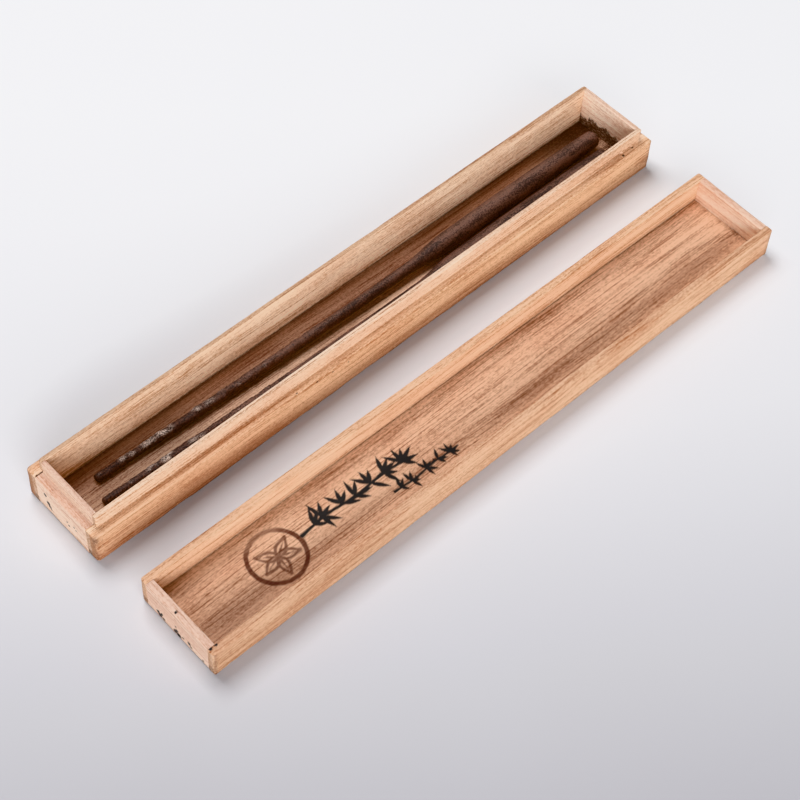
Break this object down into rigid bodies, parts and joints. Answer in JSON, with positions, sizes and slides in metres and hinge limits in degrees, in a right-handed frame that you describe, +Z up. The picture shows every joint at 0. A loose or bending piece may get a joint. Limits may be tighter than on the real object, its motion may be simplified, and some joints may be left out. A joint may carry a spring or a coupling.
{
  "type": "boxed pair of fire chopsticks",
  "caption": "Tapered iron fire chopsticks with thick handles lying in a long lipped wooden box, its tray-shaped lid lying open beside it.",
  "frame": {"origin": "centre of the box's underside, on the surface that the box and the lid lie on", "axes": "+X along the box towards the chopsticks' thick ends, +Y across the box away from the lid, +Z up"},
  "size_m": [0.4037, 0.1449, 0.031],
  "materials": {
    "box_side_wood": "bare old softwood, orange-brown outside and paler on the lip, fine straight grain",
    "box_end_wood": "bare softwood, pale pinkish, grain running across the box",
    "box_floor_wood": "bare softwood darkened by rust and age",
    "lid_side_wood": "bare old softwood, fine straight grain",
    "lid_end_wood": "bare softwood, pale pinkish, grain running across the lid",
    "lid_panel_wood": "bare softwood, mid brown with long dark grain streaks",
    "peg_wood": "dense hardwood, trimmed flush",
    "stick_iron": "rough brown-black iron, rusted skin, pale ash scale near the tip"
  },
  "bodies": {
    "box": {"box_floor": "box_floor_wood", "box_near_side": "box_side_wood", "box_far_side": "box_side_wood", "box_left_end": "box_end_wood", "box_right_end": "box_end_wood", "box_corner_pegs": "peg_wood", "box_floor_pegs": "peg_wood"},
    "lid": {"lid_panel": "lid_panel_wood", "lid_near_side": "lid_side_wood", "lid_far_side": "lid_side_wood", "lid_left_end": "lid_end_wood", "lid_right_end": "lid_end_wood", "lid_corner_pegs": "peg_wood", "lid_panel_pegs": "peg_wood"},
    "far_chopstick": {"far_chopstick": "stick_iron"},
    "near_chopstick": {"near_chopstick": "stick_iron"}
  },
  "joints": [
    {"name": "lid_lift", "type": "slide", "parent": "box", "child": "lid", "axis": [0, 0, 1], "range_m": [0, 0.06]},
    {"name": "far_chopstick_lift", "type": "slide", "parent": "box", "child": "far_chopstick", "axis": [0, 0, 1], "range_m": [0, 0.06]},
    {"name": "near_chopstick_lift", "type": "slide", "parent": "box", "child": "near_chopstick", "axis": [0, 0, 1], "range_m": [0, 0.06]}
  ]
}
